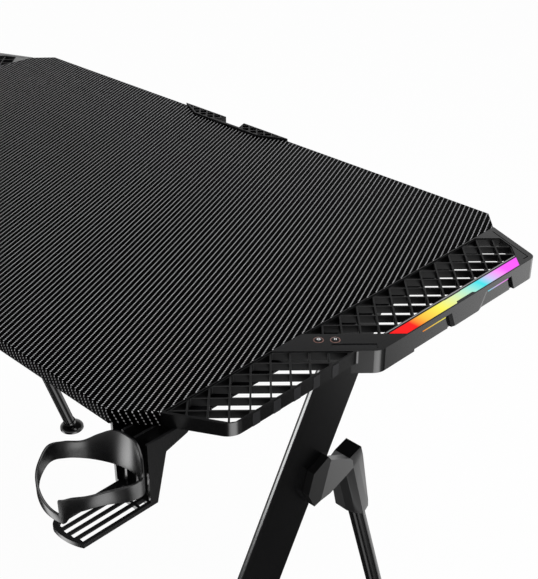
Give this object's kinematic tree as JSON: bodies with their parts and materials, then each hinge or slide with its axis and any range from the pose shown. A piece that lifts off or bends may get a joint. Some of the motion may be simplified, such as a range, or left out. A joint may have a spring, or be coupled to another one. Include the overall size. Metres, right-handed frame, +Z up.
{
  "type": "gaming desk",
  "caption": "Desk with a carbon-look board, lattice end wings with light bars and buttons, leaning legs with braces on levelling feet, a cable slot and a cup holder.",
  "frame": {"origin": "on the floor, under the middle of the board", "axes": "+Z up, +X to the user's right along the board, +Y from the user's edge to the back edge"},
  "size_m": [1.134, 0.6935, 0.76],
  "materials": {
    "carbon_look_top": "fibreboard core with a satin carbon-look laminate",
    "black_moulding": "satin ABS",
    "black_lattice": "satin ABS",
    "light_diffuser": "milky acrylic, lit from below",
    "circuit_board": "solder mask on glass-epoxy",
    "led_lens": "clear silicone over the light chip",
    "switch_plastic": "nylon",
    "button_plastic": "gloss ABS",
    "pale_rings": "pale polycarbonate",
    "plate_gloss": "gloss ABS",
    "inlet_metal": "nickel plated",
    "powder_coated_steel": "fine black powder coat",
    "cast_knuckle": "satin black paint",
    "shoe_plastic": "moulded nylon",
    "foot_plastic": "polished black nylon",
    "zinc_steel": "zinc plated",
    "cup_holder_plastic": "semi-gloss ABS"
  },
  "bodies": {
    "desk": {"beam_bolts": "zinc_steel", "brace_set_screws": "zinc_steel", "button_plate": "plate_gloss", "button_rings": "pale_rings", "cable_insert": "black_moulding", "control_board": "circuit_board", "cup_holder_arm": "cup_holder_plastic", "cup_holder_ring": "cup_holder_plastic", "cup_holder_screws": "zinc_steel", "desktop": "carbon_look_top", "front_beam": "powder_coated_steel", "insert_screws": "zinc_steel", "left_brace": "powder_coated_steel", "left_brace_plug": "shoe_plastic", "left_control_cover": "black_moulding", "left_front_grille": "black_lattice", "left_knuckle": "cast_knuckle", "left_led_chips": "led_lens", "left_led_strip": "circuit_board", "left_leg_shoe": "shoe_plastic", "left_light_cover": "black_moulding", "left_light_diffuser": "light_diffuser", "left_main_leg": "powder_coated_steel", "left_rear_grille": "black_lattice", "left_side_lenses": "light_diffuser", "left_side_rail": "powder_coated_steel", "left_wing_shell": "black_moulding", "light_controller": "black_moulding", "power_inlet": "inlet_metal", "rail_screws": "zinc_steel", "rear_beam": "powder_coated_steel", "right_brace": "powder_coated_steel", "right_brace_plug": "shoe_plastic", "right_control_cover": "black_moulding", "right_front_grille": "black_lattice", "right_knuckle": "cast_knuckle", "right_led_chips": "led_lens", "right_led_strip": "circuit_board", "right_leg_shoe": "shoe_plastic", "right_light_cover": "black_moulding", "right_light_diffuser": "light_diffuser", "right_main_leg": "powder_coated_steel", "right_rear_grille": "black_lattice", "right_side_lenses": "light_diffuser", "right_side_rail": "powder_coated_steel", "right_wing_shell": "black_moulding", "tact_switches": "switch_plastic", "wing_screws": "zinc_steel"},
    "right_front_leveller": {"right_front_foot": "foot_plastic", "right_front_foot_stud": "zinc_steel"},
    "right_rear_leveller": {"right_rear_foot": "foot_plastic", "right_rear_foot_stud": "zinc_steel"},
    "left_front_leveller": {"left_front_foot": "foot_plastic", "left_front_foot_stud": "zinc_steel"},
    "left_rear_leveller": {"left_rear_foot": "foot_plastic", "left_rear_foot_stud": "zinc_steel"},
    "colour_button": {"colour_button": "button_plastic"},
    "mode_button": {"mode_button": "button_plastic"}
  },
  "joints": [
    {"name": "right_front_foot_height", "type": "slide", "parent": "desk", "child": "right_front_leveller", "axis": [0, 0, -1], "range_m": [0, 0.01]},
    {"name": "right_rear_foot_height", "type": "slide", "parent": "desk", "child": "right_rear_leveller", "axis": [0, 0.289, -0.9573], "range_m": [0, 0.01]},
    {"name": "left_front_foot_height", "type": "slide", "parent": "desk", "child": "left_front_leveller", "axis": [0, 0, -1], "range_m": [0, 0.01]},
    {"name": "left_rear_foot_height", "type": "slide", "parent": "desk", "child": "left_rear_leveller", "axis": [0, 0.289, -0.9573], "range_m": [0, 0.01]},
    {"name": "colour_button_press", "type": "slide", "parent": "desk", "child": "colour_button", "axis": [0, 0, -1], "range_m": [0, 0.0008], "stiffness_N_per_m": 900},
    {"name": "mode_button_press", "type": "slide", "parent": "desk", "child": "mode_button", "axis": [0, 0, -1], "range_m": [0, 0.0008], "stiffness_N_per_m": 900}
  ]
}
